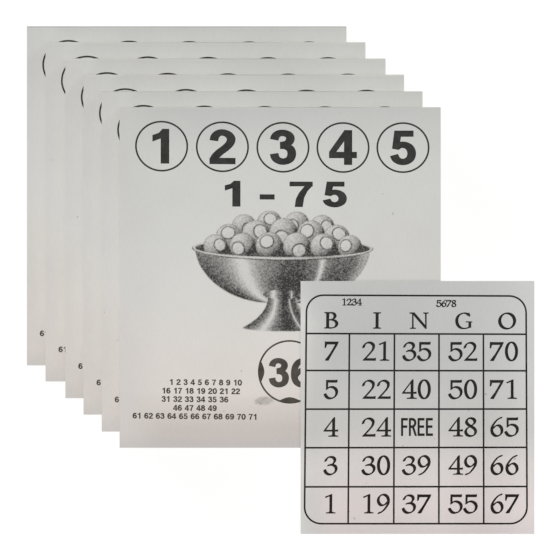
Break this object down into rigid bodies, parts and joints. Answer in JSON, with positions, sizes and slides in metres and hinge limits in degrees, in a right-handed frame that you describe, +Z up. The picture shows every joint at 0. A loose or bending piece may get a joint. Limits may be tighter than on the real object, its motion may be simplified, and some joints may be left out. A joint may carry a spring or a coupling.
{
  "type": "set of bingo pads with a loose card",
  "caption": "Glued bingo card pads in a stepped stack, each a backing board, single leaves and a cover, with one loose card lying on the top pad's corner.",
  "frame": {"origin": "middle of the set's footprint, on the surface that the bottom pad lies on", "axes": "+Z up out of the printed faces, +Y towards the glued heads, +X to the right of a reader"},
  "size_m": [0.1642, 0.1642, 0.0469],
  "materials": {
    "newsprint_leaves": "uncoated newsprint, cut edges",
    "cover_sheet": "uncoated newsprint, printed in dark grey",
    "card_sheet": "uncoated newsprint, printed in black",
    "greyboard": "unbleached grey board",
    "padding_glue": "dried milky padding glue, satin",
    "printing_ink": "matt offset ink"
  },
  "bodies": {
    "pad_1": {"pad_1_backing": "greyboard", "pad_1_leaves": "newsprint_leaves", "pad_1_cover": "cover_sheet", "pad_1_glue": "padding_glue"},
    "pad_2": {"pad_2_backing": "greyboard", "pad_2_leaves": "newsprint_leaves", "pad_2_cover": "cover_sheet", "pad_2_glue": "padding_glue"},
    "pad_3": {"pad_3_backing": "greyboard", "pad_3_leaves": "newsprint_leaves", "pad_3_cover": "cover_sheet", "pad_3_glue": "padding_glue"},
    "pad_4": {"pad_4_backing": "greyboard", "pad_4_leaves": "newsprint_leaves", "pad_4_cover": "cover_sheet", "pad_4_glue": "padding_glue"},
    "pad_5": {"pad_5_backing": "greyboard", "pad_5_leaves": "newsprint_leaves", "pad_5_cover": "cover_sheet", "pad_5_glue": "padding_glue"},
    "pad_6": {"pad_6_backing": "greyboard", "pad_6_leaves": "newsprint_leaves", "pad_6_glue": "padding_glue"},
    "top_cover": {"pad_6_cover": "cover_sheet"},
    "loose_card": {"loose_card": "card_sheet"}
  },
  "joints": [
    {"name": "pad_2_lift", "type": "slide", "parent": "pad_1", "child": "pad_2", "axis": [0, 0, 1], "range_m": [0, 0.06]},
    {"name": "pad_3_lift", "type": "slide", "parent": "pad_2", "child": "pad_3", "axis": [0, 0, 1], "range_m": [0, 0.06]},
    {"name": "pad_4_lift", "type": "slide", "parent": "pad_3", "child": "pad_4", "axis": [0, 0, 1], "range_m": [0, 0.06]},
    {"name": "pad_5_lift", "type": "slide", "parent": "pad_4", "child": "pad_5", "axis": [0, 0, 1], "range_m": [0, 0.06]},
    {"name": "pad_6_lift", "type": "slide", "parent": "pad_5", "child": "pad_6", "axis": [0, 0, 1], "range_m": [0, 0.06]},
    {"name": "top_cover_hinge", "type": "hinge", "parent": "pad_6", "child": "top_cover", "pos_m": [0.00005, 0.0553, 0.04672], "axis": [-1, 0, 0], "range_deg": [0, 170]},
    {"name": "loose_card_lift", "type": "slide", "parent": "top_cover", "child": "loose_card", "axis": [0, 0, 1], "range_m": [0, 0.06]}
  ]
}
